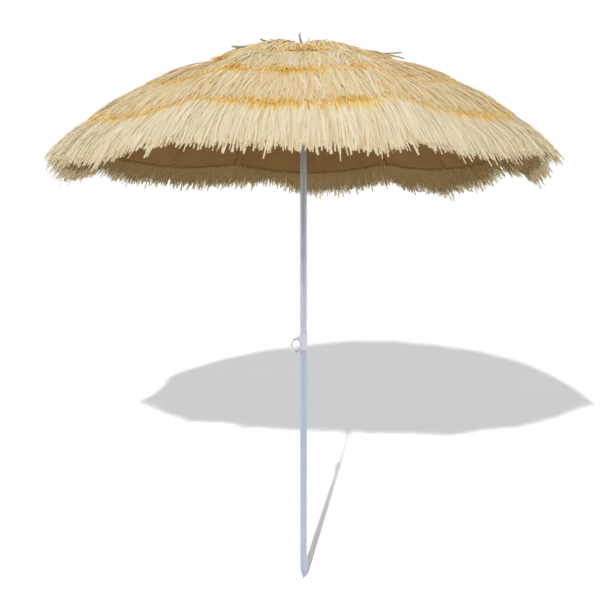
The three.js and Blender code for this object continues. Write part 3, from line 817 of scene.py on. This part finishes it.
def studio_light(zenith, horizon, below):
    """A soft dome, brightest overhead and dim below the horizon; the backdrop itself looks white."""
    world = bpy.data.worlds.new("studio")
    bpy.context.scene.world = world
    world.use_nodes = True
    nodes, links = world.node_tree.nodes, world.node_tree.links
    coordinates = nodes.new("ShaderNodeTexCoord")
    split = nodes.new("ShaderNodeSeparateXYZ")
    links.new(coordinates.outputs["Generated"], split.inputs["Vector"])
    height = nodes.new("ShaderNodeMapRange")
    height.inputs["From Min"].default_value = -1.0
    links.new(split.outputs["Z"], height.inputs["Value"])
    dome = nodes.new("ShaderNodeValToRGB")
    between = tuple((low + high) / 2 for low, high in zip(horizon, zenith))
    stops = ((0.0, below), (0.42, below), (0.52, horizon), (0.75, between), (1.0, zenith))
    while len(dome.color_ramp.elements) < len(stops):
        dome.color_ramp.elements.new(0.5)
    for element, (position, colour) in zip(dome.color_ramp.elements, stops):
        element.position = position
        element.color = (*colour, 1.0)
    links.new(height.outputs["Result"], dome.inputs["Fac"])
    seen = nodes.new("ShaderNodeLightPath")
    choose = nodes.new("ShaderNodeMix")
    choose.data_type = "RGBA"
    links.new(seen.outputs["Is Camera Ray"], choose.inputs["Factor"])
    links.new(dome.outputs["Color"], choose.inputs[6])
    choose.inputs[7].default_value = (1.0, 1.0, 1.0, 1.0)
    links.new(choose.outputs[2], nodes["Background"].inputs["Color"])
    nodes["Background"].inputs["Strength"].default_value = 1.0


def linked(name, objects, state):
    """A collection for light linking that takes in, or leaves out, these objects."""
    made = bpy.data.collections.new(name)
    for each in objects:
        made.objects.link(each)
    for each in made.collection_objects:
        each.light_linking.link_state = state
    return made


def lamp(name, place, target, size, power, falloff="Constant"):
    """A round lamp whose light doesn't weaken with distance, unless the falloff is Quadratic."""
    light = bpy.data.lights.new(name, "AREA")
    light.shape = "DISK"
    light.size = size
    light.energy = power
    light.use_nodes = True
    nodes, links = light.node_tree.nodes, light.node_tree.links
    fall = nodes.new("ShaderNodeLightFalloff")
    fall.inputs["Strength"].default_value = 1.0
    links.new(fall.outputs[falloff], nodes["Emission"].inputs["Strength"])
    made = bpy.data.objects.new(name, light)
    made.location = place
    direction = np.array(target) - np.array(place)
    flat = math.hypot(direction[0], direction[1])
    tilt, heading = math.atan2(flat, -direction[2]), math.atan2(-direction[0], direction[1])
    made.rotation_euler = (tilt, 0, heading)
    bpy.context.scene.collection.objects.link(made)
    return made


studio_light(zenith=(0.74, 0.75, 0.78), horizon=(0.64, 0.65, 0.69), below=(0.45, 0.40, 0.32))
key = lamp("key", (-0.41, -3.46, 2.57), (0, 1.5, 0.9), 0.5, 2.75)
key.light_linking.receiver_collection = linked("key_lights", [floor], "EXCLUDE")
key.data.color = (1.0, 0.965, 0.885)
# Light thrown back up from the sunlit ground onto the pole in the canopy's shade.
bounce = lamp("bounce", (0.0, -0.9, 0.3), (0, 0, 1.2), 0.4, 2.4, "Quadratic")
bounce.data.color = (1.0, 0.82, 0.60)
shaded = [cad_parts["upper_pole"]]
bounce.light_linking.receiver_collection = linked("bounce_lights", shaded, "INCLUDE")
floor_lamp = lamp("floor_lamp", (-0.45, -4.1, 2.75), (0.3, 3.0, 0.0), 0.10, 33)
floor_lamp.light_linking.receiver_collection = linked("floor_lamp_lights", [floor], "INCLUDE")
# The straw is thin and lets light through, so these softer lamps aren't stopped by it.
SOFT_LAMPS = {
    "overhead": ((-0.5, -2.2, 6.0), 1.2, (1.0, 1.0, 1.0)),
    "left": ((-5.0, -0.8, 1.9), 3.1, (0.66, 0.83, 1.0)),
    "right": ((5.0, -0.8, 1.9), 3.1, (0.66, 0.83, 1.0)),
    "back": ((0.5, 5.0, 3.4), 1.1, (0.92, 0.96, 1.0)),
}
for lamp_name, (stand, lamp_power, tint) in SOFT_LAMPS.items():
    soft = lamp(lamp_name, stand, (0, 0, 1.3), 1.5, lamp_power)
    soft.data.color = tint
    soft.light_linking.receiver_collection = linked(lamp_name + "_lights", [floor], "EXCLUDE")
    soft.light_linking.blocker_collection = linked(lamp_name + "_passes", STRAW_PIECES, "EXCLUDE")

camera_data = bpy.data.cameras.new("camera")
camera_data.lens = 60
camera_data.sensor_width = 36
camera_data.shift_y = -0.1
camera_data.clip_end = 300
camera = bpy.data.objects.new("camera", camera_data)
camera.location = (-0.0118, -3.4, 1.149)
camera.rotation_euler = (math.pi / 2, 0, 0)
bpy.context.scene.collection.objects.link(camera)
bpy.context.scene.camera = camera
bpy.context.scene.view_settings.view_transform = "Standard"
